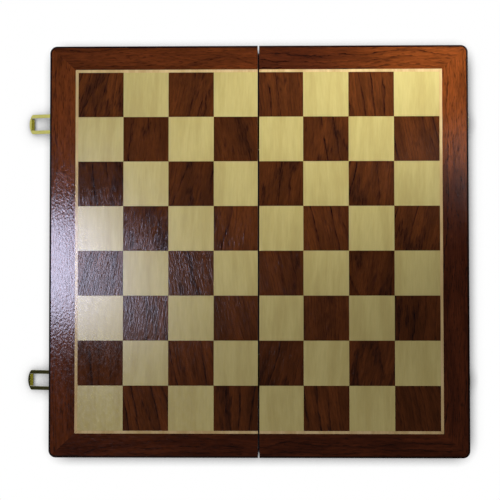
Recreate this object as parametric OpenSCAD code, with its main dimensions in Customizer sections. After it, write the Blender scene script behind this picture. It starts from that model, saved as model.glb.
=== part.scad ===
// Folding chess case, opened flat as a playing board, with the squares on top.
// Millimetres. X runs across the fold, Y along it, Z up from the plane of the open rims.
// The fold line lies on x = 0. Every half is drawn with x growing from the fold outwards,
// and the left half is the mirror image of the right one in its wooden parts.

/* [Playing surface] */
// Width of one square, across the fold
square_w = 40.5; // [30:0.5:50]
// Length of one square, along the fold
square_l = 40; // [30:0.5:50]
// Width that the saw takes from each square beside the fold
fold_trim = 1.2; // [0:0.1:3]
// Width of the pale stringing line
stringing_w = 2.5; // [1:0.1:4]
// Glue line between neighbouring squares
glue_line = 0.08; // [0.04:0.01:0.3]
// Thickness of the veneer
veneer_t = 0.8; // [0.5:0.1:1.5]
// Outer border at the two latch sides, from the stringing to the edge
side_border_w = 23.3; // [15:0.1:35]
// Outer border at the far and near ends, from the stringing to the edge
end_border_w = 21.5; // [15:0.1:35]

/* [Case] */
// Height of one half
half_h = 30; // [24:0.5:45]
// Thickness of the walls
wall_t = 8; // [7:0.5:12]
// Thickness of the board that carries the veneer
panel_t = 5.2; // [3:0.1:8]
// Width of the wall's lip round the board and its veneer
lip_w = 1.8; // [1.4:0.1:3]
// Radius of the case's outer corners, seen from above
corner_r = 6.5; // [5:0.5:12]
// Radius of the rounded top edge
edge_r = 1.2; // [0.4:0.1:1.3]
// Gap between the two halves when the board lies open
fold_gap = 1.4; // [0.8:0.1:2]
// Gap between the two rims when the case is shut
rim_gap = 0.3; // [0.2:0.05:0.6]
// Thickness of the felt lining
felt_t = 0.8; // [0.5:0.1:2]
// Gap between the felt and the walls
felt_margin = 0.3; // [0.1:0.1:1]

/* [Fold hinges] */
// Distance of each hinge from the middle of the fold
hinge_y = 110; // [60:5:130]
// Length of a hinge
hinge_l = 32; // [24:1:44]
// Width of a leaf from the pin's centre
hinge_leaf_w = 7.4; // [6.8:0.1:7.6]
// Thickness of the leaves
hinge_leaf_t = 0.8; // [0.6:0.1:1]
// Diameter of the hinge pin
hinge_pin_d = 1.2; // [1:0.1:1.4]
// Play between two knuckles
knuckle_gap = 0.3; // [0.3:0.05:0.8]
// Free space round the knuckles in the wood
knuckle_relief = 0.35; // [0.3:0.05:0.6]
// Radial play of a turning knuckle on its pin
running_play = 0.04; // [0.02:0.01:0.08]
// Distance of the hinge screws from the hinge's middle
hinge_screw_y = 10; // [8:0.5:12]
// Distance of the hinge screws from the pin
hinge_screw_x = 4.7; // [4.4:0.1:5]
// Shank diameter of the hinge screws
hinge_screw_d = 1.8; // [1.4:0.1:2]
// Head diameter of the hinge screws
hinge_head_d = 3.4; // [3:0.1:3.8]
// Depth of the hinge screws in the wood
hinge_screw_l = 9; // [6:0.5:14]

/* [Latches] */
// Distance of each latch from the middle of the side
latch_y = 117.5; // [40:0.5:140]
// Height of the latch pin above the rim
latch_pin_z = 6.5; // [6:0.1:9]
// Distance of the latch pin from the wall
latch_pin_out = 2.2; // [2.1:0.1:3]
// Diameter of the latch pin
latch_pin_d = 1.6; // [1.2:0.1:1.8]
// Outer diameter of the latch knuckles
latch_knuckle_d = 3.6; // [3.2:0.1:3.8]
// Thickness of the latch plates
latch_plate_t = 0.9; // [0.7:0.1:1.2]
// Height of the latch plate's top above the pin
latch_plate_h = 15; // [12:0.5:17]
// Radius of the plate's corners
plate_corner_r = 2; // [1:0.1:3]
// Width of the loop
loop_w = 18; // [17:0.1:20]
// Width of the loop's legs
loop_leg_w = 3.3; // [2.4:0.1:3.6]
// Thickness of the loop
loop_t = 1; // [0.8:0.1:1.2]
// Distance from the pin to the inner edge of the loop's lip
loop_window_l = 20.8; // [20:0.1:21.6]
// Width of the lip at its middle
loop_lip_l = 1.9; // [1.6:0.1:2.4]
// How far the lip's edge is drawn back at its ends
loop_lip_bow = 2.9; // [2.2:0.1:3]
// Length of the hooked tongue that is turned in from the lip
loop_tongue_l = 2.8; // [2.2:0.1:3]
// Angle between the tongue and the loop's plane
loop_tongue_angle = 50; // [40:1:60]
// Gap between the tongue and each leg
loop_tongue_gap = 0.3; // [0.2:0.1:0.6]
// Radius of the loop's corners
loop_corner_r = 1.4; // [1:0.1:1.6]

/* [Catches] */
// Play between the loop's window and the catch at each side
catch_side_play = 0.5; // [0.4:0.05:1]
// Play between the tongue's end and the tip of the catch
catch_tip_play = 0.5; // [0.4:0.05:1]
// How far the catch stands out from the wall
catch_out = 3.6; // [3.2:0.1:3.8]
// Height of the catch's lower edge above the rim
catch_z = 1.5; // [1:0.1:2]
// Length of the hooked tip
catch_tip_l = 2.4; // [1.5:0.1:3]
// Slope of the catch's throat
catch_slope = 50; // [35:1:60]
// Radius of the catch's corners
catch_corner_r = 1.2; // [0.8:0.1:1.5]

/* [Plate screws] */
// Shank diameter of the plate screws
plate_screw_d = 1.8; // [1.4:0.1:2]
// Head diameter of the plate screws
plate_head_d = 3.2; // [2.8:0.1:3.4]
// Height of the domed screw heads
plate_head_h = 0.9; // [0.7:0.1:1]
// Depth of the plate screws in the wood
plate_screw_l = 6; // [4:0.5:7]
// Distance of the plate screws from the plate's middle line
plate_screw_y = 2.9; // [2.7:0.1:3.1]

/* [Hidden] */
squares_long = 8;
squares_wide = 4;
fold_x = fold_gap / 2;
grid_x = fold_x + squares_wide * square_w - fold_trim;
grid_y = squares_long * square_l / 2;
line_x = grid_x + stringing_w;
line_y = grid_y + stringing_w;
case_x = line_x + side_border_w;
case_y = line_y + end_border_w;
corner_x = case_x - corner_r;
corner_y = case_y - corner_r;
veneer_z = half_h - veneer_t;
shelf_z = veneer_z - panel_t;
lip_r = corner_r - lip_w;
half_corner = 45;
tray_x0 = fold_x + wall_t;
tray_x1 = case_x - wall_t;
tray_y = case_y - wall_t;
mitre_x = case_x - lip_w;
mitre_y = case_y - lip_w;
over = 1;

hinge_axis_z = -rim_gap / 2;
hinge_roll_t = 0.7;
hinge_knuckle_r = hinge_pin_d / 2 + hinge_roll_t;
leaf_step = 0.05;
leaf_top_z = hinge_axis_z + hinge_knuckle_r - leaf_step;
leaf_bottom_z = leaf_top_z - hinge_leaf_t;
leaf_play = 0.1;
relief_r = hinge_knuckle_r + knuckle_relief;
mid_knuckle_l = hinge_l / 3 - knuckle_gap;
end_knuckle_l = (hinge_l - mid_knuckle_l) / 2 - knuckle_gap;
roll_slit = 0.15;
hinge_slit_angle = 5;

latch_knuckle_r = latch_knuckle_d / 2;
loop_window_w = loop_w - 2 * loop_leg_w;
latch_barrel_l = loop_window_w - 2 * knuckle_gap;
latch_neck_z = latch_pin_z + latch_knuckle_r + knuckle_relief;
latch_top_z = latch_pin_z + latch_plate_h;
latch_screw_z = (latch_neck_z + latch_top_z) / 2;
latch_slit_angle = 118;
loop_slit_angle = -60;
loop_tip_x = loop_window_l + loop_lip_l;
tongue_w = loop_window_w - 2 * loop_tongue_gap;
tongue_way = [-cos(loop_tongue_angle), -sin(loop_tongue_angle)];
tongue_side = loop_t / 2 * [-sin(loop_tongue_angle), cos(loop_tongue_angle)];
tongue_top = [loop_window_l, 0] + loop_tongue_l * tongue_way + tongue_side;
tongue_heel = [loop_window_l, 0] + loop_tongue_l * tongue_way - tongue_side;
tongue_step = loop_t / 2 * tan(loop_tongue_angle / 2);
rest_clear = 0.1;
heel_angle = atan(-tongue_heel[1] / tongue_heel[0]);
loop_droop = asin((latch_pin_z - rest_clear) / norm(tongue_heel)) - heel_angle;

catch_w = loop_window_w - 2 * catch_side_play;
catch_tip_r = norm(tongue_top) - catch_tip_play;
catch_reach = sqrt(pow(catch_tip_r, 2) - pow(catch_out - latch_pin_out, 2));
catch_tip_z = catch_reach - latch_pin_z - rim_gap;
catch_throat_x = catch_out - latch_plate_t;
screw_margin = 0.4;
catch_screw_z = catch_z + plate_head_d / 2 + screw_margin;
slot_w = 0.5;
slot_depth = 0.35;

walnut = "#4a2418";
rosewood = "#5a2a1c";
maple = "#d9c08a";
boxwood = "#e0cb98";
ply = "#9a7448";
felt = "#1f4a34";
brass = "#b8a24a";
round_fn = 64;

// The left half is the mirror image of the right one.
module left_side() {
  mirror([1, 0, 0]) children();
}

// A plan view of one half: the outline drawn in by inset at its three free sides.
module half_plan(inset) {
  r = corner_r - inset;
  x1 = case_x - inset;
  y1 = case_y - inset;
  difference() {
    translate([fold_x, -y1]) square([x1 - fold_x, 2 * y1]);
    for (s = [-1, 1])
      difference() {
        translate([x1 - r, s > 0 ? y1 - r : -y1 - over]) square([r + over, r + over]);
        translate([x1 - r, s * (y1 - r)]) circle(r, $fn = round_fn);
      }
  }
}

// The lip's section: x is measured from the centre of the corner, y up from the shelf.
module lip_section() {
  h = half_h - shelf_z;
  difference() {
    translate([lip_r, 0]) square([lip_w, h]);
    difference() {
      translate([corner_r - edge_r, h - edge_r]) square([edge_r + over, edge_r + over]);
      translate([corner_r - edge_r, h - edge_r]) circle(edge_r, $fn = round_fn);
    }
  }
}

// The lip from the middle of a rounded corner round to the wall's straight side, which runs
// along -Y from the corner's centre for the given length.
module lip_run(length) {
  rotate([90, 0, 0]) linear_extrude(length) lip_section();
  rotate_extrude(angle = half_corner, $fn = round_fn) lip_section();
}

// A wall's solid below the shelf: its mitred plan, cut from the outline.
module wall_block(plan) {
  linear_extrude(shelf_z) intersection() {
    half_plan(0);
    polygon(plan);
  }
}

// The wall with a latch or a catch at each end. Its screw holes are at the given height.
module outer_wall(screw_z) {
  plan = [
    [case_x + over, -case_y - over], [case_x + over, case_y + over],
    [tray_x1, tray_y], [tray_x1, -tray_y]
  ];
  color(walnut) difference() {
    union() {
      wall_block(plan);
      for (s = [0, 1])
        mirror([0, s, 0]) translate([corner_x, corner_y, shelf_z]) lip_run(corner_y);
    }
    for (s = [-1, 1])
      for (t = [-1, 1])
        translate([case_x - plate_screw_l, s * latch_y + t * plate_screw_y, screw_z])
          rotate([0, 90, 0]) cylinder(d = plate_screw_d, h = plate_screw_l + over, $fn = round_fn);
  }
}

// The wall at the far end. The near one is its mirror image.
module far_wall() {
  plan = [
    [fold_x - over, case_y + over], [case_x + over, case_y + over],
    [tray_x1, tray_y], [tray_x0, tray_y]
  ];
  color(walnut) {
    wall_block(plan);
    translate([corner_x, corner_y, shelf_z]) mirror([1, -1, 0]) lip_run(corner_x - fold_x);
  }
}

module near_wall() {
  mirror([0, 1, 0]) far_wall();
}

module hinge_wall() {
  plan = [
    [fold_x - over, -case_y - over], [fold_x - over, case_y + over],
    [tray_x0, tray_y], [tray_x0, -tray_y]
  ];
  color(walnut) difference() {
    wall_block(plan);
    for (s = [-1, 1])
      translate([0, s * hinge_y, 0]) hinge_seat();
  }
}

// What the hinge takes out of the wall: the leaf's bed, the knuckles' relief and the screw holes.
module hinge_seat() {
  bed_l = hinge_l + 2 * leaf_play;
  translate([0, -bed_l / 2, -over])
    cube([hinge_leaf_w + leaf_play, bed_l, leaf_top_z + over]);
  translate([0, -bed_l / 2, hinge_axis_z])
    rotate([-90, 0, 0]) cylinder(r = relief_r, h = bed_l, $fn = round_fn);
  for (s = [-1, 0, 1])
    translate([hinge_screw_x, s * hinge_screw_y, 0])
      cylinder(d = hinge_screw_d, h = leaf_top_z + hinge_screw_l, $fn = round_fn);
}

module panel() {
  color(ply) translate([0, 0, shelf_z]) linear_extrude(panel_t) half_plan(lip_w);
}

// Squares of one colour. The colour alternates with the sum of row and column.
module squares(odd) {
  for (i = [0 : squares_wide - 1])
    for (j = [0 : squares_long - 1])
      if ((i + j) % 2 == odd) {
        x0 = fold_x + (i == 0 ? 0 : i * square_w - fold_trim);
        w = i == 0 ? square_w - fold_trim : square_w;
        translate([x0 + glue_line / 2, j * square_l - grid_y + glue_line / 2, veneer_z])
          cube([w - glue_line, square_l - glue_line, veneer_t]);
      }
}

module veneer(plan) {
  translate([0, 0, veneer_z]) linear_extrude(veneer_t) polygon(plan);
}

// Three strips with mitred ends, a glue line apart.
module stringing() {
  color(boxwood) {
    veneer([
      [grid_x, -grid_y + glue_line], [grid_x, grid_y - glue_line],
      [line_x, line_y - glue_line], [line_x, -line_y + glue_line]
    ]);
    for (s = [-1, 1])
      veneer([
        [fold_x, s * grid_y], [fold_x, s * line_y],
        [line_x - glue_line, s * line_y], [grid_x - glue_line, s * grid_y]
      ]);
  }
}

module border(plan) {
  color(rosewood) translate([0, 0, veneer_z]) linear_extrude(veneer_t) intersection() {
    half_plan(lip_w);
    polygon(plan);
  }
}

// Its mitres run from the stringing's corners to the corners of the lip's inner outline.
module side_border() {
  border([[line_x, -line_y], [line_x, line_y], [mitre_x, mitre_y], [mitre_x, -mitre_y]]);
}

module far_border() {
  border([[fold_x, line_y], [line_x, line_y], [mitre_x, mitre_y], [fold_x, mitre_y]]);
}

module near_border() {
  mirror([0, 1, 0]) far_border();
}

module felt_lining() {
  color(felt) translate([tray_x0 + felt_margin, -tray_y + felt_margin, shelf_z - felt_t])
    cube([tray_x1 - tray_x0 - 2 * felt_margin, 2 * (tray_y - felt_margin), felt_t]);
}

// A knuckle rolled from the leaf's own sheet, with the slit where the roll closes.
module rolled_knuckle(outer_r, inner_r, length, slit_angle) {
  rotate([90, 0, 0]) linear_extrude(length, center = true) difference() {
    circle(outer_r, $fn = round_fn);
    circle(inner_r, $fn = round_fn);
    rotate([0, 0, slit_angle]) square([outer_r + over, roll_slit]);
  }
}

// One leaf of a hinge. The knuckles are given as [middle, length] pairs.
module hinge_leaf(knuckles, bore_r) {
  edge_x = relief_r;
  color(brass) {
    difference() {
      translate([edge_x, -hinge_l / 2, leaf_bottom_z])
        cube([hinge_leaf_w - edge_x, hinge_l, hinge_leaf_t]);
      for (s = [-1, 0, 1])
        translate([hinge_screw_x, s * hinge_screw_y, 0]) hinge_screw_hole();
    }
    for (k = knuckles)
      translate([0, k[0], 0]) difference() {
        union() {
          translate([0, 0, hinge_axis_z])
            rolled_knuckle(hinge_knuckle_r, bore_r, k[1], hinge_slit_angle);
          translate([0, -k[1] / 2, leaf_bottom_z]) cube([edge_x, k[1], hinge_leaf_t]);
        }
        translate([0, 0, hinge_axis_z]) rotate([90, 0, 0])
          cylinder(r = bore_r, h = k[1] + over, center = true, $fn = round_fn);
      }
  }
}

module hinge_screw_hole() {
  translate([0, 0, leaf_bottom_z - over])
    cylinder(d = hinge_head_d, h = over, $fn = round_fn);
  translate([0, 0, leaf_bottom_z])
    cylinder(d1 = hinge_head_d, d2 = hinge_screw_d, h = hinge_leaf_t, $fn = round_fn);
  translate([0, 0, leaf_top_z])
    cylinder(d = hinge_screw_d, h = over, $fn = round_fn);
}

module left_leaf() {
  offset_y = hinge_l / 2 - end_knuckle_l / 2;
  left_side() hinge_leaf(
    [[-offset_y, end_knuckle_l], [offset_y, end_knuckle_l]],
    hinge_pin_d / 2
  );
}

module right_leaf() {
  hinge_leaf([[0, mid_knuckle_l]], hinge_pin_d / 2 + running_play);
}

module hinge_pin() {
  color(brass) translate([0, 0, hinge_axis_z]) rotate([90, 0, 0])
    cylinder(d = hinge_pin_d, h = hinge_l, center = true, $fn = round_fn);
}

module hinge_screws() {
  color(brass)
    for (h = [-1, 1])
      for (s = [-1, 0, 1])
        translate([hinge_screw_x, h * hinge_y + s * hinge_screw_y, 0]) difference() {
          union() {
            translate([0, 0, leaf_bottom_z])
              cylinder(d1 = hinge_head_d, d2 = hinge_screw_d, h = hinge_leaf_t, $fn = round_fn);
            translate([0, 0, leaf_top_z])
              cylinder(d = hinge_screw_d, h = hinge_screw_l, $fn = round_fn);
          }
          translate([-slot_w / 2, -hinge_head_d, leaf_bottom_z - over])
            cube([slot_w, 2 * hinge_head_d, over + slot_depth]);
        }
}

// Places a fitting on an outer wall: x points away from the wall, and y = 0 is its middle.
module on_wall(y) {
  translate([case_x, y, 0]) children();
}

// A stamped blank in the Y-Z plane with rounded corners, given by its width, heights and depth.
module blank(w, z0, z1, r, depth) {
  rotate([90, 0, 90]) linear_extrude(depth) difference() {
    translate([-w / 2, z0]) square([w, z1 - z0]);
    for (s = [-1, 1])
      for (end = [[z0 + r, -r - over], [z1 - r, 0]])
        translate([s * (w / 2 - r), end[0]]) difference() {
          translate([s > 0 ? 0 : -r - over, end[1]]) square([r + over, r + over]);
          circle(r, $fn = round_fn);
        }
  }
}

module plate_screw_holes(z) {
  for (s = [-1, 1])
    translate([-over, s * plate_screw_y, z]) rotate([0, 90, 0])
      cylinder(d = plate_screw_d, h = latch_plate_t + 2 * over, $fn = round_fn);
}

// The plate whose lower end is rolled round the pin.
module latch_plate() {
  color(brass) difference() {
    union() {
      blank(loop_w, latch_neck_z, latch_top_z, plate_corner_r, latch_plate_t);
      translate([0, -latch_barrel_l / 2, latch_pin_z])
        cube([latch_plate_t, latch_barrel_l, latch_neck_z - latch_pin_z + over]);
      translate([latch_pin_out, 0, latch_pin_z])
        rolled_knuckle(latch_knuckle_r, latch_pin_d / 2, latch_barrel_l, latch_slit_angle);
    }
    translate([latch_pin_out, 0, latch_pin_z]) rotate([90, 0, 0])
      cylinder(d = latch_pin_d, h = latch_barrel_l + over, center = true, $fn = round_fn);
    plate_screw_holes(latch_screw_z);
  }
}

module latch_pin() {
  color(brass) translate([latch_pin_out, 0, latch_pin_z]) rotate([90, 0, 0])
    cylinder(d = latch_pin_d, h = loop_w, center = true, $fn = round_fn);
}

// The tongue's side view: it leaves the lip's inner edge and is turned in and back to the pin.
module tongue_section() {
  half_t = loop_t / 2;
  root_x = loop_window_l + half_t;
  polygon([
    [root_x, -half_t], [root_x, half_t], [loop_window_l - tongue_step, half_t],
    tongue_top, tongue_heel, [loop_window_l + tongue_step, -half_t]
  ]);
}

// The loop's plan: a strip with a window, a bowed edge at its tip and rounded corners.
module loop_plan() {
  half_w = loop_w / 2;
  bow_r = (pow(half_w, 2) + pow(loop_lip_bow, 2)) / (2 * loop_lip_bow);
  bow_x = loop_tip_x - bow_r;
  fillet_y = half_w - loop_corner_r;
  fillet_run = sqrt(pow(bow_r - loop_corner_r, 2) - pow(fillet_y, 2));
  reach = (bow_r + over) / (bow_r - loop_corner_r);
  outer_run = fillet_run * reach;
  difference() {
    intersection() {
      translate([0, -half_w]) square([loop_tip_x + over, loop_w]);
      translate([bow_x, 0]) circle(bow_r, $fn = round_fn);
    }
    for (s = [-1, 1])
      difference() {
        polygon([
          [bow_x + fillet_run, s * fillet_y], [bow_x + fillet_run, s * (half_w + over)],
          [bow_x + outer_run, s * (half_w + over)], [bow_x + outer_run, s * fillet_y * reach]
        ]);
        translate([bow_x + fillet_run, s * fillet_y]) circle(loop_corner_r, $fn = round_fn);
      }
    translate([-over, -loop_window_w / 2]) square([loop_window_l + over, loop_window_w]);
  }
}

// A stamped frame with a hooked tongue at its tip and its two legs rolled round the pin.
module latch_loop() {
  leg_y = (loop_w - loop_leg_w) / 2;
  color(brass)
    translate([latch_pin_out, 0, latch_pin_z]) rotate([0, loop_droop, 0]) difference() {
      union() {
        linear_extrude(loop_t, center = true) loop_plan();
        rotate([90, 0, 0]) linear_extrude(tongue_w, center = true) tongue_section();
        for (s = [-1, 1])
          translate([0, s * leg_y, 0])
            rolled_knuckle(
              latch_knuckle_r, latch_pin_d / 2 + running_play, loop_leg_w, loop_slit_angle
            );
      }
      rotate([90, 0, 0])
        cylinder(d = latch_pin_d + 2 * running_play, h = loop_w + over, center = true, $fn = round_fn);
    }
}

// The catch's side view: a flat foot, a sloping throat and an upright tip.
module catch_section() {
  t = latch_plate_t;
  rise = catch_throat_x / tan(catch_slope);
  step = t * tan(catch_slope / 2);
  z_out = catch_tip_z - catch_tip_l;
  z_in = z_out - rise;
  polygon([
    [0, catch_z], [t, catch_z], [t, z_in - step], [catch_out, z_out - step],
    [catch_out, catch_tip_z], [catch_throat_x, catch_tip_z], [catch_throat_x, z_out],
    [0, z_in]
  ]);
}

module catch_plate() {
  color(brass) difference() {
    intersection() {
      rotate([90, 0, 0]) linear_extrude(catch_w + over, center = true) catch_section();
      blank(catch_w, catch_z, catch_tip_z, catch_corner_r, catch_out);
    }
    plate_screw_holes(catch_screw_z);
  }
}

// Two screws with domed and slotted heads, for a plate's holes at the given height.
module plate_screws(z) {
  dome_r = (pow(plate_head_d / 2, 2) + pow(plate_head_h, 2)) / (2 * plate_head_h);
  for (s = [-1, 1])
    translate([0, s * plate_screw_y, z]) rotate([0, 90, 0]) difference() {
      union() {
        translate([0, 0, -plate_screw_l])
          cylinder(d = plate_screw_d, h = plate_screw_l + latch_plate_t, $fn = round_fn);
        translate([0, 0, latch_plate_t]) rotate_extrude($fn = round_fn) intersection() {
          translate([0, plate_head_h - dome_r]) circle(dome_r, $fn = round_fn);
          square([plate_head_d / 2, plate_head_h]);
        }
      }
      translate([-slot_w / 2, -plate_head_d, latch_plate_t + plate_head_h - slot_depth])
        cube([slot_w, 2 * plate_head_d, slot_depth + over]);
    }
}

module latch_screws() {
  color(brass) for (s = [-1, 1]) on_wall(s * latch_y) plate_screws(latch_screw_z);
}

module catch_screws() {
  color(brass) for (s = [-1, 1]) on_wall(s * latch_y) plate_screws(catch_screw_z);
}

left_side() outer_wall(latch_screw_z);  // left_outer_wall
left_side() far_wall();  // left_far_wall
left_side() near_wall();  // left_near_wall
left_side() hinge_wall();  // left_hinge_wall
left_side() panel();  // left_panel
color(rosewood) left_side() squares(0);  // left_dark_squares
color(maple) left_side() squares(1);  // left_light_squares
left_side() side_border();  // left_side_border
left_side() far_border();  // left_far_border
left_side() near_border();  // left_near_border
left_side() stringing();  // left_stringing
left_side() felt_lining();  // left_felt_lining
outer_wall(catch_screw_z);  // right_outer_wall
far_wall();  // right_far_wall
near_wall();  // right_near_wall
hinge_wall();  // right_hinge_wall
panel();  // right_panel
color(rosewood) squares(1);  // right_dark_squares
color(maple) squares(0);  // right_light_squares
side_border();  // right_side_border
far_border();  // right_far_border
near_border();  // right_near_border
stringing();  // right_stringing
felt_lining();  // right_felt_lining
translate([0, hinge_y, 0]) left_leaf();  // far_hinge_left_leaf
translate([0, hinge_y, 0]) right_leaf();  // far_hinge_right_leaf
translate([0, hinge_y, 0]) hinge_pin();  // far_hinge_pin
translate([0, -hinge_y, 0]) left_leaf();  // near_hinge_left_leaf
translate([0, -hinge_y, 0]) right_leaf();  // near_hinge_right_leaf
translate([0, -hinge_y, 0]) hinge_pin();  // near_hinge_pin
left_side() hinge_screws();  // left_hinge_screws
hinge_screws();  // right_hinge_screws
left_side() on_wall(latch_y) latch_plate();  // far_latch_plate
left_side() on_wall(latch_y) latch_pin();  // far_latch_pin
left_side() on_wall(latch_y) latch_loop();  // far_latch_loop
left_side() on_wall(-latch_y) latch_plate();  // near_latch_plate
left_side() on_wall(-latch_y) latch_pin();  // near_latch_pin
left_side() on_wall(-latch_y) latch_loop();  // near_latch_loop
left_side() latch_screws();
on_wall(latch_y) catch_plate();  // far_catch_plate
on_wall(-latch_y) catch_plate();  // near_catch_plate
catch_screws();
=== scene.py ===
import math

import bmesh
import bpy
from bpy.props import FloatProperty, FloatVectorProperty, PointerProperty
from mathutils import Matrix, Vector, noise


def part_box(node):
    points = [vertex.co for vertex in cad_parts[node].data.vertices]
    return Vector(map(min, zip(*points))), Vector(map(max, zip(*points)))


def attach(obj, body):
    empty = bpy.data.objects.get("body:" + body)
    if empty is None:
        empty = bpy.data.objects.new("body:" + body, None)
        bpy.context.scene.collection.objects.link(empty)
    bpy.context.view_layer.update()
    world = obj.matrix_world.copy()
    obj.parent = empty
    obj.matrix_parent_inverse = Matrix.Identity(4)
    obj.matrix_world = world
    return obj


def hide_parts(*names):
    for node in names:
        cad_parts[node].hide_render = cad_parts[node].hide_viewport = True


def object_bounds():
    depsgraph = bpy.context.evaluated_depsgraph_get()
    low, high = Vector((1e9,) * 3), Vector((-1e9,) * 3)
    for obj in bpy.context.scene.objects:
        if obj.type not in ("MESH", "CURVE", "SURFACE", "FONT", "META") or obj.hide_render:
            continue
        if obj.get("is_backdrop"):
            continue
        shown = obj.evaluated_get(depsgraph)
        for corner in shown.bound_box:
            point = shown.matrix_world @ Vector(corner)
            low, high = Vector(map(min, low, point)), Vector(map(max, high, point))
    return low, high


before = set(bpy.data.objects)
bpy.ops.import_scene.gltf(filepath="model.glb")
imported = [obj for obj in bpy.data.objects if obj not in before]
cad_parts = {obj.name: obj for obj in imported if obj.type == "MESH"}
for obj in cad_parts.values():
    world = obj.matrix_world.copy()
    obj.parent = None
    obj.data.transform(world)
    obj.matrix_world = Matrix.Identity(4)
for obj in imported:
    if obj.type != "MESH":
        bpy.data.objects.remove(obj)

bl_info = {
    "name": "Folding Chess Case",
    "version": (1, 0, 0),
    "blender": (4, 5, 0),
    "location": "3D View > Sidebar > Chess Case",
    "description": "Finishes a folding chess case in lacquered veneer, felt and brass",
    "category": "Object",
}

HALVES = ("left", "right")
ENDS = ("far", "near")
BORDERS = ("side_border", "far_border", "near_border")
ROWS, COLUMNS = 8, 4

# Each wall: the way its fibres run, and the place in the wood that it is cut from.
WALLS = {
    "outer_wall": ("Y", 10),
    "far_wall": ("X", 8),
    "near_wall": ("X", 9),
    "hinge_wall": ("Y", 10),
}

# Painted light on some borders: between two places along an axis, in metres, the veneer is
# painted paler where lamp light and sheen fall. The share of painted light goes from least
# to most.
PAINTED_LIGHT_BORDERS = {
    "right_side_border": {"axis": "Y", "starts": 0.05, "ends": 0.10, "least": 0.0, "most": 1.0},
    "right_far_border": {"axis": "X", "starts": 0.04, "ends": 0.16, "least": 0.0, "most": 1.0},
    "left_side_border": {"axis": "Y", "starts": -0.10, "ends": 0.10, "least": 0.3, "most": 0.6},
    "left_far_border": {"axis": "X", "starts": -0.18, "ends": 0.0, "least": 0.3, "most": 0.3},
}
PAINTED_LIGHT_RAGGED = 0.05  # metres by which the edge of the painted light is ragged

MERGE_DISTANCE = 1e-6  # metres
RIM_DISTANCE = 1e-5  # metres
FLAT_ANGLE = math.radians(0.5)  # faces that meet at less become one
SHARP_ANGLE = math.radians(32)  # edges that are sharper are rounded
SMOOTH_ANGLE = math.radians(50)  # faces that meet at less are shaded as one
FELT_ANGLE = math.radians(40)  # the felt's edges that are sharper stay sharp

FELT_CELLS = (44, 90)  # across and along the sheet
FELT_WAVES = 90  # rises of the felt in a metre
DEPTH_SCALE = 60  # how fast the figure changes down through the wood, in a metre
FLOOR_WIDTH = 3.0

# Each lamp: where it stands, where it points, its size and its tint.
LAMPS = {
    "window": {
        "place": (-0.49, 0.0, 1.15), "aim": (-0.02, 0, 0.03),
        "size": (0.21, 0.30), "tint": (0.93, 0.95, 1.28),
    },
    "low_window": {
        "place": (-1.2, 0.6, 0.8), "aim": (-0.1, 0, 0.03),
        "size": (0.5, 0.4), "tint": (1.03, 1.0, 0.9),
    },
    "curtain": {
        "place": (-0.28, -0.06, 1.15), "aim": (-0.02, 0, 0.03),
        "size": (0.20, 0.10), "tint": (1.0, 0.95, 1.05),
    },
    "fill": {
        "place": (-0.5, -1.1, 1.2), "aim": (0, 0, 0.03),
        "size": (0.4, 0.4), "tint": (1.12, 0.98, 0.88),
    },
    "desk_lamp": {
        "place": (1.0, 0.53, 0.6), "aim": (0.168, 0.224, 0.03),
        "size": (0.12, 0.12), "tint": (1.03, 1.0, 0.95),
    },
    "under_lamp": {
        "place": (0.35, -0.5, -1.2), "aim": (0, 0, 0),
        "size": (0.8, 0.8), "tint": (1.0, 1.0, 1.0),
    },
    "side_card": {
        "place": (-0.9, 0.31, 0.965), "aim": (-0.2, 0.12, 0),
        "size": (0.34, 0.40), "tint": (1.0, 1.0, 0.95),
    },
    "sheen_card": {
        "place": (0.44, 0.20, 1.15), "aim": (0.16, 0.07, 0.03),
        "size": (0.16, 0.12), "tint": (1.0, 0.95, 1.0),
    },
}


def tone(code):
    """A colour written as on screen, such as #b8a24a, in Blender's linear values."""
    parts = [int(code[i : i + 2], 16) / 255 for i in (1, 3, 5)]
    return tuple(p / 12.92 if p <= 0.04045 else ((p + 0.055) / 1.055) ** 2.4 for p in parts)


def colour_property(label, text, code):
    return FloatVectorProperty(
        name=label, description=text, subtype="COLOR", size=3, min=0, max=1, default=tone(code)
    )


def length_property(label, text, metres):
    return FloatProperty(name=label, description=text, unit="LENGTH", min=0, default=metres)


def power_property(label, text, watts):
    return FloatProperty(name=label, description=text, unit="POWER", min=0, default=watts)


def share_property(label, text, share):
    return FloatProperty(
        name=label, description=text, subtype="FACTOR", min=0, max=1, default=share
    )


class WoodFinish(bpy.types.PropertyGroup):
    """Colours and surface of the veneers, the stained walls and their lacquer."""

    rosewood: colour_property("Rosewood", "Ground colour of the dark squares", "#552c13")
    rosewood_shade: colour_property("Rosewood shade", "Darker wood in the dark squares", "#45230f")
    rosewood_vein: colour_property("Rosewood vein", "Dark veins of the dark squares", "#1c0c0a")
    maple: colour_property("Maple", "Ground colour of the light squares", "#c1b472")
    maple_shade: colour_property("Maple shade", "Grain lines of the light squares", "#b6a766")
    border: colour_property("Border", "Ground colour of the border veneer", "#4e230f")
    border_shade: colour_property("Border shade", "Darker wood in the border", "#391709")
    # The paler border colour is painted light, laid on where lamp light and sheen fall.
    border_painted_light: colour_property("Border light", "Paler wood in the border", "#743a17")
    border_vein: colour_property("Border vein", "Dark veins of the border", "#180805")
    boxwood: colour_property("Boxwood", "Colour of the stringing line", "#d0b784")
    boxwood_shade: colour_property("Boxwood shade", "Grain of the stringing line", "#bb9f6a")
    stain: colour_property("Stain", "Ground colour of the stained walls", "#200e08")
    stain_shade: colour_property("Stain shade", "Darker stain in the grain", "#0f0504")
    board: colour_property("Board", "Colour of the board under the veneer", "#a3804f")
    board_shade: colour_property("Board shade", "Darker fibres of the board", "#7c5a33")
    pore_depth: length_property("Pore depth", "Depth of the open pores in the lacquer", 0.00014)
    lacquer: share_property("Lacquer roughness", "Roughness of the lacquered surface", 0.11)


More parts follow.
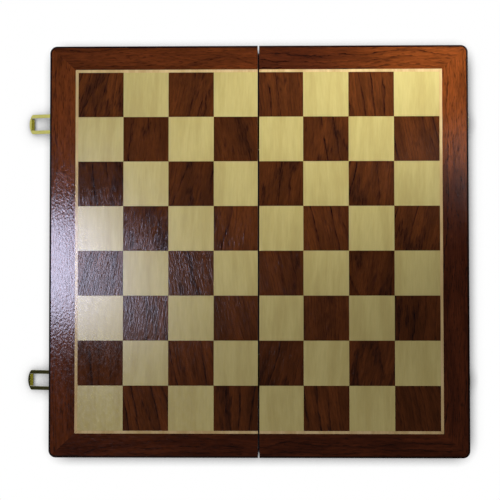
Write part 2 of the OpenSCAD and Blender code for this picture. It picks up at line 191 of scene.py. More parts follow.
class FittingFinish(bpy.types.PropertyGroup):
    """Colours and edges of the brass fittings and the felt."""

    brass: colour_property("Brass", "Colour of the clean brass", "#c2bd70")
    tarnish: colour_property("Tarnish", "Colour of the brass where it has dulled", "#86825a")
    polish: share_property("Brass roughness", "Roughness of the brass", 0.13)
    edge_round: length_property("Edge rounding", "Radius left on stamped brass edges", 0.00012)
    wall_round: length_property("Wall rounding", "Radius sanded on the rims", 0.0004)
    felt: colour_property("Felt", "Colour of the felt lining", "#1e5638")
    felt_shade: colour_property("Felt shade", "Shadow among the felt's fibres", "#0d2c1c")
    felt_ripple: length_property("Felt ripple", "Height of the felt's unevenness", 0.00015)


class StudioLight(bpy.types.PropertyGroup):
    """Lamps, background and camera. Each lamp's power is named for the lamp."""

    window_power: power_property(
        "Window power", "Power of the softbox that the lacquer mirrors", 3.1
    )
    low_window_power: power_property(
        "Low window power", "Power of the low softbox at the far left", 2.2
    )
    curtain_power: power_property("Curtain power", "Power of the dim card by the window", 0.19)
    fill_power: power_property("Fill power", "Power of the softbox that fills the shade", 5.3)
    desk_lamp_power: power_property(
        "Desk lamp power", "Power of the narrow lamp at the right", 0.57
    )
    desk_lamp_spread: FloatProperty(
        name="Desk lamp spread", description="How wide the desk lamp's beam opens",
        subtype="ANGLE", min=math.radians(1), default=math.radians(23),
    )
    under_lamp_power: power_property(
        "Under lamp power", "Power of the softbox below the floor", 9.0
    )
    side_card_power: power_property(
        "Side card power", "Power of the card that the far loop mirrors", 0.38
    )
    sheen_card_power: power_property(
        "Sheen card power", "Power of the card that the right border mirrors", 0.08
    )
    room_level: FloatProperty(
        name="Room level", description="Strength of the light from all around", min=0,
        default=0.12,
    )
    shade_reach: length_property(
        "Shade reach", "How far the case's shadow falls on the floor", 0.022
    )
    contact_reach: length_property(
        "Contact reach", "How far the dark line at the floor reaches", 0.014
    )
    lens: FloatProperty(
        name="Lens", description="Focal length in millimetres", unit="CAMERA", min=1,
        default=75.6,
    )
    eye: FloatVectorProperty(
        name="Camera place", description="Where the camera stands", subtype="TRANSLATION",
        unit="LENGTH", default=(0.0079, -0.026, 0.9657),
    )
    tilt: FloatVectorProperty(
        name="Camera tilt", description="How the camera is turned", subtype="EULER",
        default=(math.radians(1.63), math.radians(0.95), math.radians(-0.03)),
    )


class NodeWork:
    """The nodes of a material or world. Each call adds a node, joins it and gives its output."""

    def __init__(self, owner):
        owner.use_nodes = True
        self.owner = owner
        self.tree = owner.node_tree
        self.tree.nodes.clear()

    def node(self, kind, inputs=None, **settings):
        made = self.tree.nodes.new("ShaderNode" + kind)
        for key, value in settings.items():
            setattr(made, key, value)
        for key, value in (inputs or {}).items():
            self.feed(made.inputs[key], value)
        return made

    def feed(self, socket, value):
        if isinstance(value, bpy.types.NodeSocket):
            self.tree.links.new(value, socket)
        else:
            socket.default_value = value

    def math(self, operation, *values):
        made = self.node("Math", operation=operation)
        for socket, value in zip(made.inputs, values):
            self.feed(socket, value)
        return made.outputs[0]

    def vector(self, x, y, z):
        return self.node("CombineXYZ", {"X": x, "Y": y, "Z": z}).outputs[0]

    def parts(self, vector):
        return self.node("SeparateXYZ", {"Vector": vector}).outputs

    def ramp(self, value, low, high, start=0.0, end=1.0):
        inputs = {"Value": value, "From Min": low, "From Max": high}
        inputs.update({"To Min": start, "To Max": end})
        made = self.node("MapRange", inputs, interpolation_type="SMOOTHSTEP")
        return made.outputs["Result"]

    def mixed_light(self, share, first, second):
        return self.node("MixShader", {0: share, 1: first, 2: second}).outputs[0]


class Finish(NodeWork):
    """A material in the making, in the object's own coordinates, in metres."""

    def __init__(self, name):
        super().__init__(bpy.data.materials.new(name))

    def place(self):
        return self.node("TexCoord").outputs["Object"]

    def noise(self, place, detail=2.0, rough=0.5, bend=0.0):
        inputs = {"Vector": place, "Scale": 1.0, "Detail": detail}
        inputs.update({"Roughness": rough, "Distortion": bend})
        return self.node("TexNoise", inputs).outputs["Fac"]

    def mix(self, share, first, second):
        made = self.node("Mix", data_type="RGBA")
        self.feed(made.inputs[0], share)
        for socket, value in ((made.inputs[6], first), (made.inputs[7], second)):
            self.feed(socket, value if isinstance(value, bpy.types.NodeSocket) else (*value, 1))
        return made.outputs[2]

    def scaled(self, colour, amount):
        made = self.node("VectorMath", operation="SCALE")
        self.feed(made.inputs[0], colour)
        self.feed(made.inputs["Scale"], amount)
        return made.outputs[0]

    def bump(self, height, depth):
        return self.node("Bump", {"Height": height, "Distance": depth}).outputs["Normal"]

    def done(self, colour, roughness, normal, **sockets):
        inputs = {"Base Color": colour, "Roughness": roughness, "Normal": normal, **sockets}
        shader = self.node("BsdfPrincipled", inputs)
        self.node("OutputMaterial", {"Surface": shader.outputs[0]})
        return self.owner


class Grain:
    """The place of a point in the grain, for fibres that run along X or Y.

    The seed moves the piece to other wood, shift does so for each square, and lean slants
    the fibres.
    """

    def __init__(self, finish, along, seed, lean, shift):
        x, y, depth = finish.parts(finish.place())
        across, length = (x, y) if along == "Y" else (y, x)
        slanted = finish.math("MULTIPLY_ADD", length, lean, across)
        self.finish = finish
        self.across = finish.math("ADD", finish.math("ADD", slanted, seed), shift)
        self.length = finish.math("ADD", length, shift)
        self.depth = finish.math("MULTIPLY", depth, DEPTH_SCALE)

    def noise(self, across_scale, along_scale, detail=2.0, rough=0.5, bend=0.0):
        """Noise with so many cells in a metre across the fibres and along them."""
        wide = self.finish.math("MULTIPLY", self.across, across_scale)
        long = self.finish.math("MULTIPLY", self.length, along_scale)
        place = self.finish.vector(wide, long, self.depth)
        return self.finish.noise(place, detail, rough, bend)


def board_sizes():
    """The grid's sizes in metres, measured on the frame."""
    low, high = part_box("right_dark_squares")
    places = {round(v.co.x, 5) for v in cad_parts["right_dark_squares"].data.vertices}
    # The last three are where the third column ends, and where the fourth starts and ends.
    *_, third_ends, _, fourth_ends = sorted(places)
    width = fourth_ends - third_ends
    return {
        "width": width, "length": (high.y - low.y) / ROWS, "grid_y": high.y,
        "column_shift": COLUMNS * width - high.x,
    }


def square_numbers(finish, sizes):
    """Four random numbers for each square of the board, from its column, row and half."""
    x, y, _ = finish.parts(finish.place())
    across = finish.math("ADD", finish.math("ABSOLUTE", x), sizes["column_shift"])
    length = finish.math("ADD", y, sizes["grid_y"])
    column = finish.math("FLOOR", finish.math("DIVIDE", across, sizes["width"]))
    row = finish.math("FLOOR", finish.math("DIVIDE", length, sizes["length"]))
    cell = finish.vector(column, row, finish.math("SIGN", x))
    made = finish.node("TexWhiteNoise", {"Vector": cell}, noise_dimensions="3D")
    return (*finish.parts(made.outputs["Color"]), made.outputs["Value"])


def single_board(look):
    """The values of a look that the whole of one board shares."""
    board = {key: look[key] for key in ("smoke", "rings", "sweep")}
    return {"lean": 0.0, "shift": 0.0, "bright": 1.0, **board}


def cut_squares(finish, look):
    """The same values drawn for each square, as if each came from wood of its own."""
    first, second, third, fourth = square_numbers(finish, board_sizes())
    smoke, rings, sweep = look["smoke"], look["rings"], look["sweep"]
    return {
        "lean": finish.ramp(first, 0.0, 1.0, -look["lean"], look["lean"]),
        "shift": finish.math("MULTIPLY", second, 3.0),
        "bright": finish.ramp(third, 0.0, 1.0, 1 - look["spread"], 1 + look["spread"]),
        "smoke": finish.ramp(fourth, 0.0, 1.0, smoke - 0.05, smoke + 0.08),
        "rings": finish.ramp(third, 0.0, 1.0, rings * 0.7, rings * 1.3),
        "sweep": finish.ramp(fourth, 0.0, 1.0, sweep * 1.5, sweep * 0.4),
    }


def growth_lines(grain, rings, sweep, wander, chance, ragged):
    """Dark lines that follow the growth rings, each as strong as its ring's own number."""
    finish = grain.finish
    slow = finish.math("MULTIPLY", grain.noise(16, 9, 1.0), sweep)
    quick = finish.math("MULTIPLY", grain.noise(80, 28, 3.0, 0.6), wander)
    drift = finish.math("ADD", slow, quick)
    smooth = finish.math("MULTIPLY_ADD", grain.across, rings, drift)
    phase = finish.math("MULTIPLY_ADD", grain.noise(900, 60, 2.0, 0.6), ragged, smooth)
    place = finish.math("FRACT", phase)
    number = finish.math("FLOOR", phase)
    # Each line darkens slowly, then quickly, and breaks off at the end of its ring.
    halo = finish.ramp(place, 0.4, 0.9, end=0.45)
    core = finish.ramp(place, 0.76, 0.88, end=0.55)
    rise = finish.math("ADD", halo, core)
    fall = finish.ramp(place, 0.92, 0.99, start=1.0, end=0.0)
    drawn = finish.node("TexWhiteNoise", {"W": number}, noise_dimensions="1D").outputs["Value"]
    strength = finish.ramp(drawn, chance, chance + 0.35)
    broken = finish.ramp(grain.noise(150, 36, 2.0), 0.3, 0.5, start=0.15)
    line = finish.math("MULTIPLY", rise, fall)
    return finish.math("MULTIPLY", finish.math("MULTIPLY", line, strength), broken)


def dark_figure(grain, look, board, fibre, streak):
    """How dark the wood is at a point, from its veins, fine and wide lines and smoky clouds."""
    finish = grain.finish
    rings, sweep = board["rings"], board["sweep"]
    cloud = finish.math("MULTIPLY_ADD", streak, 0.3, grain.noise(75, 24, 3.0, 0.6))
    smoke = finish.ramp(finish.math("SUBTRACT", cloud, board["smoke"]), 0.0, 0.12)
    smoke = finish.math("MULTIPLY", smoke, look["smoke_depth"])
    veins = growth_lines(grain, rings, sweep, look["wander"], look["chance"], look["ragged"])
    fine = growth_lines(grain, finish.math("MULTIPLY", rings, 3.3), sweep, 1.5, 0.3, 0.2)
    fine = finish.math("MULTIPLY", fine, look["fine"])
    wide = growth_lines(grain, finish.math("MULTIPLY", rings, 0.4), sweep, 0.8, 0.5, 0.12)
    wide = finish.math("MULTIPLY", wide, look["smoke_depth"])
    dark = finish.math("MAXIMUM", finish.math("MAXIMUM", veins, fine), wide)
    dark = finish.math("MAXIMUM", dark, smoke)
    braid = finish.ramp(fibre, 0.36, 0.6, start=1.0, end=0.62)
    return finish.math("MULTIPLY", finish.math("MULTIPLY", dark, braid), look["vein_depth"])


def lacquer_film(grain, look, wood):
    """The normal and roughness of the lacquer: ripple along the fibres, peel and open pores."""
    finish = grain.finish
    peel = grain.noise(350, 220, 1.0)
    open_pores = finish.ramp(grain.noise(1100, 115, 1.0), 0.5, 0.68)
    ripple = grain.noise(look["ripple"], look["ripple"] * look["ripple_run"], 2.0, 0.5, 0.2)
    height = finish.math("MULTIPLY_ADD", peel, 0.25, ripple)
    height = finish.math("SUBTRACT", height, finish.math("MULTIPLY", open_pores, 0.13))
    normal = finish.bump(height, wood.pore_depth * look["pore_depth"])
    roughness = finish.ramp(peel, 0.2, 0.8, wood.lacquer - 0.03, wood.lacquer + 0.05)
    return normal, finish.math("ADD", roughness, look["matt"])


def painted_light_share(grain, painted_light):
    """How much painted light a border gets, as paler wood between two places along X or Y."""
    finish = grain.finish
    axis = finish.parts(finish.place())[painted_light["axis"]]
    ragged = finish.math("MULTIPLY_ADD", grain.noise(260, 20, 3.0, 0.6), PAINTED_LIGHT_RAGGED, axis)
    starts, ends = (painted_light[key] + PAINTED_LIGHT_RAGGED / 2 for key in ("starts", "ends"))
    return finish.ramp(ragged, starts, ends, painted_light["least"], painted_light["most"])


def lacquered_wood(name, look, along, wood, seed=0.0, squares=False, painted_light=None):
    """Lacquered wood: a ground with darker wood, veins, smoky clouds, fibres and pores.

    In a look, rings counts the growth rings in a metre, and sweep, wander and ragged are
    their slow, quick and fine drift in rings. A higher chance leaves more rings pale, and a
    higher smoke leaves fewer clouds. The names that end in depth, and fine, fibre and pore,
    are strengths. fibre_length and ripple are cells in a metre, and ripple_run is how many
    of ripple's there are along the fibres. matt adds to the roughness, index is the
    lacquer's index of refraction, and lean and spread are how much squares differ in the
    slant of their fibres and in brightness.
    """
    finish = Finish(name)
    board = cut_squares(finish, look) if squares else single_board(look)
    grain = Grain(finish, along, seed, board["lean"], board["shift"])

    broad = grain.noise(95, 14, 3.0, 0.6)
    fibre = grain.noise(1000, look["fibre_length"], 3.0, 0.65)
    streak = grain.noise(420, look["fibre_length"] * 0.4, 2.0)
    ground = finish.mix(finish.ramp(broad, 0.35, 0.66), look["ground"], look["shade"])
    # Painted light: the ground turns to the paler border colour where lamp light and sheen fall.
    if painted_light is not None:
        ground = finish.mix(painted_light_share(grain, painted_light), ground, look["light"])
    veined = finish.mix(dark_figure(grain, look, board, fibre, streak), ground, look["vein"])

    threads = finish.math("MULTIPLY_ADD", streak, 0.6, fibre)
    fibres = finish.ramp(threads, 0.5, 1.1, 1 - look["fibre"], 1 + look["fibre"])
    shaded = finish.scaled(veined, finish.math("MULTIPLY", fibres, board["bright"]))
    pores = finish.ramp(grain.noise(1000, 150, 1.0), 0.58, 0.7)
    colour = finish.mix(finish.math("MULTIPLY", pores, look["pore"]), shaded, look["vein"])
    normal, roughness = lacquer_film(grain, look, wood)
    return finish.done(colour, roughness, normal, IOR=look["index"])


def rosewood_squares(wood):
    look = {
        "ground": wood.rosewood, "shade": wood.rosewood_shade, "vein": wood.rosewood_vein,
        "rings": 84, "sweep": 3.4, "wander": 0.6, "ragged": 0.1, "chance": 0.25, "fine": 0.55,
        "smoke": 0.7, "smoke_depth": 0.8, "vein_depth": 1.0, "fibre": 0.22, "pore": 0.22,
        "fibre_length": 130, "pore_depth": 0.85, "ripple": 1100, "ripple_run": 0.1,
        "matt": -0.01, "index": 1.36, "lean": 0.22, "spread": 0.14,
    }
    return lacquered_wood("Rosewood squares", look, "Y", wood, 0.0, squares=True)


def maple_squares(wood):
    look = {
        "ground": wood.maple, "shade": wood.maple_shade, "vein": wood.maple_shade,
        "rings": 90, "sweep": 2.0, "wander": 0.6, "ragged": 0.1, "chance": 0.3, "fine": 0.5,
        "smoke": 0.8, "smoke_depth": 0.25, "vein_depth": 0.25, "fibre": 0.045, "pore": 0.08,
        "fibre_length": 90, "pore_depth": 0.05, "ripple": 500, "ripple_run": 0.2,
        "matt": 0.1, "index": 1.74, "lean": 0.06, "spread": 0.02,
    }
    return lacquered_wood("Maple squares", look, "Y", wood, 2.0, squares=True)


def border_veneer(wood, name, along, seed, painted_light=None):
    look = {
        "ground": wood.border, "shade": wood.border_shade, "light": wood.border_painted_light,
        "vein": wood.border_vein,
        "rings": 160, "sweep": 4.0, "wander": 1.6, "ragged": 0.3, "chance": 0.4, "fine": 0.5,
        "smoke": 0.72, "smoke_depth": 0.6, "vein_depth": 0.85, "fibre": 0.26, "pore": 0.5,
        "fibre_length": 110, "pore_depth": 0.5, "ripple": 700, "ripple_run": 0.6,
        "matt": -0.01, "index": 1.5,
    }
    return lacquered_wood(name, look, along, wood, seed, painted_light=painted_light)


def stringing_wood(wood):
    look = {
        "ground": wood.boxwood, "shade": wood.boxwood_shade, "vein": wood.boxwood_shade,
        "rings": 200, "sweep": 2.0, "wander": 0.5, "ragged": 0.1, "chance": 0.4, "fine": 0.5,
        "smoke": 0.8, "smoke_depth": 0.4, "vein_depth": 0.4, "fibre": 0.06, "pore": 0.05,
        "fibre_length": 60, "pore_depth": 0.05, "ripple": 500, "ripple_run": 0.2,
        "matt": 0.02, "index": 1.5,
    }
    return lacquered_wood("Boxwood stringing", look, "Y", wood, 5.0)


def stained_wood(wood, name, along, seed):
    look = {
        "ground": wood.stain, "shade": wood.stain_shade, "vein": wood.stain_shade,
        "rings": 120, "sweep": 4.0, "wander": 1.0, "ragged": 0.2, "chance": 0.4, "fine": 0.5,
        "smoke": 0.7, "smoke_depth": 0.6, "vein_depth": 0.6, "fibre": 0.2, "pore": 0.3,
        "fibre_length": 60, "pore_depth": 0.15, "ripple": 600, "ripple_run": 0.2,
        "matt": 0.3, "index": 1.15,
    }
    return lacquered_wood(name, look, along, wood, seed)


def board_wood(wood):
    look = {
        "ground": wood.board, "shade": wood.board_shade, "vein": wood.board_shade,
        "rings": 90, "sweep": 2.0, "wander": 0.6, "ragged": 0.2, "chance": 0.4, "fine": 0.5,
        "smoke": 0.75, "smoke_depth": 0.4, "vein_depth": 0.5, "fibre": 0.12, "pore": 0.25,
        "fibre_length": 60, "pore_depth": 0.15, "ripple": 500, "ripple_run": 0.2,
        "matt": 0.4, "index": 1.4,
    }
    return lacquered_wood("Bare board", look, "Y", wood, 9.0)


def brass_metal(fittings):
    """Plated brass: brushed scratches along X, cloudy tarnish and a few dull spots."""
    finish = Finish("Brass plate")
    place = finish.place()
    cloud = finish.noise(finish.scaled(place, 260), 4.0, 0.6)
    spots = finish.noise(finish.scaled(place, 1500), 2.0)
    dull = finish.math("MULTIPLY", finish.ramp(cloud, 0.5, 0.8), 0.6)
    dull = finish.math("ADD", dull, finish.math("MULTIPLY", finish.ramp(spots, 0.62, 0.75), 0.3))
    colour = finish.mix(dull, fittings.brass, fittings.tarnish)
    drawn = [
        finish.math("MULTIPLY", way, scale)
        for way, scale in zip(finish.parts(place), (500, 5000, 5000))
    ]
    brushed = finish.noise(finish.vector(*drawn), 2.0)
    worn = finish.math("ADD", brushed, dull)
    roughness = finish.ramp(worn, 0.3, 1.2, fittings.polish, fittings.polish + 0.08)
    scratches = finish.math("MULTIPLY_ADD", spots, 0.6, brushed)
    normal = finish.bump(scratches, 0.000006)
    return finish.done(colour, roughness, normal, Metallic=1.0)


def baize(fittings):
    """Felt: short fibres that lie every way, with a soft sheen."""
    finish = Finish("Green felt")
    place = finish.place()
    tufts = finish.noise(finish.scaled(place, 900), 4.0, 0.7, 1.5)
    clouds = finish.noise(finish.scaled(place, 60), 3.0, 0.6)
    fibres = finish.noise(finish.scaled(place, 3500), 2.0, 0.6, 2.5)
    pile = finish.math("MULTIPLY_ADD", fibres, 0.6, finish.math("MULTIPLY", tufts, 0.6))
    share = finish.math("MULTIPLY_ADD", clouds, 0.35, pile)
    colour = finish.mix(finish.ramp(share, 0.5, 1.0), fittings.felt_shade, fittings.felt)
    normal = finish.bump(pile, 0.0004)
    roughness = finish.ramp(tufts, 0.2, 0.8, 0.85, 1.0)
    sheen = {"Sheen Weight": 0.5, "Sheen Roughness": 0.5, "Specular IOR Level": 0.1}
    return finish.done(colour, roughness, normal, **sheen)


def paint(name, material):
    """Gives a node of the frame its material."""
    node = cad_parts[name]
    node.data.materials.clear()
    node.data.materials.append(material)


def new_piece(name, mesh, material):
    """An object made from a finished bmesh, which it frees."""
    data = bpy.data.meshes.new(name)
    mesh.to_mesh(data)
    mesh.free()
    data.materials.append(material)
    piece = bpy.data.objects.new(name, data)
    bpy.context.scene.collection.objects.link(piece)
    return piece


def edges_between(mesh, smallest):
    """The edges at which two faces meet at more than the given angle."""
    return [e for e in mesh.edges if len(e.link_faces) == 2 and e.calc_face_angle(0) > smallest]


def surface_normals(mesh, widest):
    """A normal for each face corner, led by the largest of the faces that meet there gently."""
    normals = []
    for face in mesh.faces:
        for corner in face.loops:
            total = Vector((0, 0, 0))
            for other in corner.vert.link_faces:
                if other.normal.angle(face.normal, 0) < widest:
                    total += other.normal * other.calc_area()
            normals.append(total.normalized() if total.length > 0 else face.normal.copy())
    return normals


def eased_copy(name, suffix, radius, body, material, chosen=None):
    """A piece like the named node that stands for it, with its sharp or chosen edges rounded."""
    mesh = bmesh.new()
    mesh.from_mesh(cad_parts[name].data)
    bmesh.ops.remove_doubles(mesh, verts=mesh.verts, dist=MERGE_DISTANCE)
    bmesh.ops.dissolve_limit(mesh, angle_limit=FLAT_ANGLE, verts=mesh.verts, edges=mesh.edges)
    sharp = edges_between(mesh, SHARP_ANGLE)
    if chosen is not None:
        sharp = [e for e in sharp if chosen(e)]
    bmesh.ops.bevel(
        mesh, geom=sharp, offset=radius, offset_type="OFFSET", segments=2,
        profile=0.5, affect="EDGES", clamp_overlap=True,
    )
    bmesh.ops.triangulate(mesh, faces=[f for f in mesh.faces if len(f.verts) > 4])
    for face in mesh.faces:
        face.smooth = True
    mesh.normal_update()
    normals = surface_normals(mesh, SMOOTH_ANGLE)
    piece = new_piece(name + suffix, mesh, material)
    piece.data.normals_split_custom_set(normals)
    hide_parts(name)
    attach(piece, body)


def felt_sheet(half, ripple, material):
    """A sheet of felt in place of the plain lining, a little uneven where it shows."""
    node = half + "_felt_lining"
    low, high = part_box(node)
    across, length = FELT_CELLS
    mesh = bmesh.new()
    rows = []
    for j in range(length + 1):
        row = []
        for i in range(across + 1):
            x = low.x + (high.x - low.x) * i / across
            y = low.y + (high.y - low.y) * j / length
            wave = noise.noise(Vector((x * FELT_WAVES, y * FELT_WAVES, 3.0)))
            row.append(mesh.verts.new((x, y, low.z + ripple * (1 + wave) / 2)))
        rows.append(row)
    for this, following in zip(rows, rows[1:]):
        for i in range(across):
            mesh.faces.new((this[i], following[i], following[i + 1], this[i + 1]))
    rim = [e for e in mesh.edges if e.is_boundary]
    lifted = bmesh.ops.extrude_edge_only(mesh, edges=rim)["geom"]
    for part in lifted:
        if isinstance(part, bmesh.types.BMVert):
            part.co.z = high.z
    bmesh.ops.holes_fill(mesh, edges=[e for e in mesh.edges if e.is_boundary], sides=0)
    bmesh.ops.recalc_face_normals(mesh, faces=mesh.faces)
    for face in mesh.faces:
        face.smooth = len(face.verts) == 4
    piece = new_piece(half + "_felt", mesh, material)
    piece.data.set_sharp_from_angle(angle=FELT_ANGLE)
    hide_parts(node)
    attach(piece, half + "_half")


def brass_pieces(context, names):
    """Rounds the edges of brass nodes, given as pairs of a node and its body."""
    fittings = context.scene.chesscase_fittings
    material = bpy.data.materials.get("Brass plate") or brass_metal(fittings)
    for name, body in names:
        eased_copy(name, "_brass", fittings.edge_round, body, material)


class CHESSCASE_OT_walls(bpy.types.Operator):
    """Finish the eight walls in dark stain, with their rims sanded round"""

    bl_idname = "chesscase.walls"
    bl_label = "Stained Walls"

    def execute(self, context):
        wood = context.scene.chesscase_wood
        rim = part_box("left_outer_wall")[0].z
        radius = context.scene.chesscase_fittings.wall_round

        def on_rim(edge):
            return all(abs(v.co.z - rim) < RIM_DISTANCE for v in edge.verts)

        for number, half in enumerate(HALVES):
            for wall, (along, place) in WALLS.items():
                name = f"{half}_{wall}"
                label = "Stained " + name.replace("_", " ")
                material = stained_wood(wood, label, along, place + number)
                eased_copy(
                    name, "_sanded", radius, half + "_half", material, on_rim
                )
        return {"FINISHED"}


class CHESSCASE_OT_boards(bpy.types.Operator):
    """Finish the boards that carry the veneer"""

    bl_idname = "chesscase.boards"
    bl_label = "Boards"

    def execute(self, context):
        material = board_wood(context.scene.chesscase_wood)
        for half in HALVES:
            paint(half + "_panel", material)
        return {"FINISHED"}


class CHESSCASE_OT_squares(bpy.types.Operator):
    """Finish the rosewood and maple squares, each with a grain of its own"""

    bl_idname = "chesscase.squares"
    bl_label = "Squares"

    def execute(self, context):
        wood = context.scene.chesscase_wood
        dark, light = rosewood_squares(wood), maple_squares(wood)
        for half in HALVES:
            paint(half + "_dark_squares", dark)
            paint(half + "_light_squares", light)
        return {"FINISHED"}


class CHESSCASE_OT_borders(bpy.types.Operator):
    """Finish the mitred border veneers and the stringing"""

    bl_idname = "chesscase.borders"
    bl_label = "Borders"

    def execute(self, context):
        wood = context.scene.chesscase_wood
        line = stringing_wood(wood)
        for number, half in enumerate(HALVES):
            paint(half + "_stringing", line)
            for place, border in enumerate(BORDERS):
                name = f"{half}_{border}"
                along = "Y" if border == "side_border" else "X"
                seed = 0.37 + 1.3 * number + 0.61 * place
                label = "Rosewood " + name.replace("_", " ")
                paint(name, border_veneer(wood, label, along, seed, PAINTED_LIGHT_BORDERS.get(name)))
        return {"FINISHED"}


class CHESSCASE_OT_felt(bpy.types.Operator):
    """Line both trays with felt"""

    bl_idname = "chesscase.felt"
    bl_label = "Felt Lining"

    def execute(self, context):
        fittings = context.scene.chesscase_fittings
        material = baize(fittings)
        for half in HALVES:
            felt_sheet(half, fittings.felt_ripple, material)
        return {"FINISHED"}


class CHESSCASE_OT_hinges(bpy.types.Operator):
    """Finish the two fold hinges, their pins and their screws"""

    bl_idname = "chesscase.hinges"
    bl_label = "Fold Hinges"

    def execute(self, context):
        names = [("left_hinge_screws", "left_half"), ("right_hinge_screws", "right_half")]
        for end in ENDS:
            names.append((end + "_hinge_left_leaf", "left_half"))
            names.append((end + "_hinge_right_leaf", "right_half"))
            names.append((end + "_hinge_pin", "left_half"))
        brass_pieces(context, names)
        return {"FINISHED"}


class CHESSCASE_OT_latches(bpy.types.Operator):
    """Finish the two latches: plates, pins, loops and screws"""

    bl_idname = "chesscase.latches"
    bl_label = "Latches"

    def execute(self, context):
        names = [("latch_screws", "left_half")]
        for end in ENDS:
            names.append((end + "_latch_plate", "left_half"))
            names.append((end + "_latch_pin", "left_half"))
            names.append((end + "_latch_loop", end + "_loop"))
        brass_pieces(context, names)
        return {"FINISHED"}


class CHESSCASE_OT_catches(bpy.types.Operator):
    """Finish the two catches and their screws"""

    bl_idname = "chesscase.catches"
    bl_label = "Catches"

    def execute(self, context):
        names = [("catch_screws", "right_half")]
        names += [(end + "_catch_plate", "right_half") for end in ENDS]
        brass_pieces(context, names)
        return {"FINISHED"}


def softbox(name, power, place, aim, size, tint):
    """A rectangular lamp that faces a point and isn't seen itself."""
    data = bpy.data.lights.new(name, "AREA")
    data.shape = "RECTANGLE"
    data.size, data.size_y = size
    data.energy = power
    data.color = tint
    lamp = bpy.data.objects.new(name, data)
    lamp.location = place
    lamp.rotation_euler = (Vector(aim) - Vector(place)).to_track_quat("-Z", "Y").to_euler()
    lamp.visible_camera = False
    bpy.context.scene.collection.objects.link(lamp)
    return lamp


def pale_floor(light):
    """A white floor with a painted shadow of the case, which lets the closed case show below it.
    """
    finish = Finish("Pale floor")
    paths = finish.node("LightPath").outputs

    def shade(reach, lean, power, depth):
        """How much the case hides of the side that lean points to."""
        normal = finish.vector(*lean)
        seen = finish.node("AmbientOcclusion", {"Distance": reach, "Normal": normal}, samples=12)
        hidden = finish.math("SUBTRACT", 1.0, seen.outputs["AO"])
        return finish.math("MULTIPLY", finish.math("POWER", hidden, power), depth)

    cast = shade(light.shade_reach, (-0.8, 0.3, 0.6), 2.5, 0.9)
    contact = shade(light.contact_reach, (-0.15, 0.12, 1.0), 1.0, 1.55)
    both = finish.math("MINIMUM", finish.math("ADD", cast, contact), 1.0)
    clear = finish.node("BsdfTransparent").outputs[0]
    # The painted shadow: a dark glow mixed in as far as ambient occlusion finds the case near.
    dark = finish.node("Emission", {"Color": (0.004, 0.004, 0.005, 1)}).outputs[0]
    white = finish.node("BsdfDiffuse", {"Color": (0.85, 0.85, 0.85, 1)}).outputs[0]
    above = finish.math("SUBTRACT", 1.0, finish.node("NewGeometry").outputs["Backfacing"])
    shadow = finish.mixed_light(finish.math("MULTIPLY", both, above), clear, dark)
    through = finish.math("MAXIMUM", paths["Is Camera Ray"], paths["Is Shadow Ray"])
    shown = finish.mixed_light(paths["Is Shadow Ray"], shadow, clear)
    surface = finish.mixed_light(through, white, shown)
    finish.node("OutputMaterial", {"Surface": surface})
    return finish.owner


def studio_world(light):
    """White to the camera, and to the metal near the horizon, under a dark ceiling."""
    world = NodeWork(bpy.data.worlds.new("Studio"))

    def background(strength):
        return world.node("Background", {"Color": (1, 1, 1, 1), "Strength": strength}).outputs[0]

    paths = world.node("LightPath").outputs
    height = world.parts(world.node("TexCoord").outputs["Generated"])["Z"]
    ceiling = world.ramp(height, 0.3, 0.6, start=1.0, end=0.03)
    mirrored = world.math("MAXIMUM", paths["Is Glossy Ray"], paths["Is Transmission Ray"])
    lit = world.mixed_light(mirrored, background(light.room_level), background(ceiling))
    shown = world.mixed_light(paths["Is Camera Ray"], lit, background(1.0))
    world.node("OutputWorld", {"Surface": shown})
    return world.owner


def studio_camera(light):
    """A camera that sees the case from where the photograph was taken."""
    data = bpy.data.cameras.new("camera")
    data.lens = light.lens
    data.sensor_width = 36
    data.clip_start = 0.01
    camera = bpy.data.objects.new("camera", data)
    camera.location = light.eye
    camera.rotation_euler = light.tilt
    bpy.context.scene.collection.objects.link(camera)
    return camera


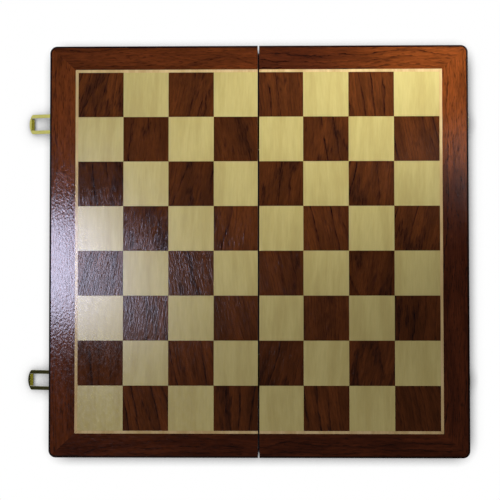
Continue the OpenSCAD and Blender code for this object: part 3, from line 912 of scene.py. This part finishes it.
class CHESSCASE_OT_studio(bpy.types.Operator):
    """Set the pale floor, the lamps and the camera"""

    bl_idname = "chesscase.studio"
    bl_label = "Studio"

    def execute(self, context):
        scene = context.scene
        light = scene.chesscase_light
        low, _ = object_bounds()
        bpy.ops.mesh.primitive_plane_add(size=FLOOR_WIDTH, location=(0, 0, low.z))
        floor = context.active_object
        floor.name = "floor"
        floor.data.materials.append(pale_floor(light))
        floor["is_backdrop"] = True

        lamps = {}
        for name, settings in LAMPS.items():
            lamps[name] = softbox(name, getattr(light, name + "_power"), **settings)
        lamps["desk_lamp"].data.spread = light.desk_lamp_spread

        scene.world = studio_world(light)
        scene.camera = studio_camera(light)
        scene.view_settings.view_transform = "Standard"
        return {"FINISHED"}


OPERATORS = (
    CHESSCASE_OT_walls,
    CHESSCASE_OT_boards,
    CHESSCASE_OT_squares,
    CHESSCASE_OT_borders,
    CHESSCASE_OT_felt,
    CHESSCASE_OT_hinges,
    CHESSCASE_OT_latches,
    CHESSCASE_OT_catches,
    CHESSCASE_OT_studio,
)


class CHESSCASE_PT_panel(bpy.types.Panel):
    """Lists the settings and steps of the chess case"""

    bl_idname = "CHESSCASE_PT_panel"
    bl_label = "Chess Case"
    bl_space_type = "VIEW_3D"
    bl_region_type = "UI"
    bl_category = "Chess Case"

    def draw(self, context):
        layout = self.layout
        scene = context.scene
        for settings in (scene.chesscase_wood, scene.chesscase_fittings, scene.chesscase_light):
            box = layout.box()
            for name in settings.__annotations__:
                box.prop(settings, name)
        for operator in OPERATORS:
            layout.operator(operator.bl_idname)


CLASSES = (WoodFinish, FittingFinish, StudioLight, *OPERATORS, CHESSCASE_PT_panel)


def register():
    for made in CLASSES:
        bpy.utils.register_class(made)
    bpy.types.Scene.chesscase_wood = PointerProperty(type=WoodFinish)
    bpy.types.Scene.chesscase_fittings = PointerProperty(type=FittingFinish)
    bpy.types.Scene.chesscase_light = PointerProperty(type=StudioLight)


def unregister():
    del bpy.types.Scene.chesscase_light
    del bpy.types.Scene.chesscase_fittings
    del bpy.types.Scene.chesscase_wood
    for made in reversed(CLASSES):
        bpy.utils.unregister_class(made)


def main():
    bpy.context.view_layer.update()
    register()
    for operator in OPERATORS:
        step = operator.bl_idname.split(".")[1]
        getattr(bpy.ops.chesscase, step)()


if __name__ == "__main__":
    main()
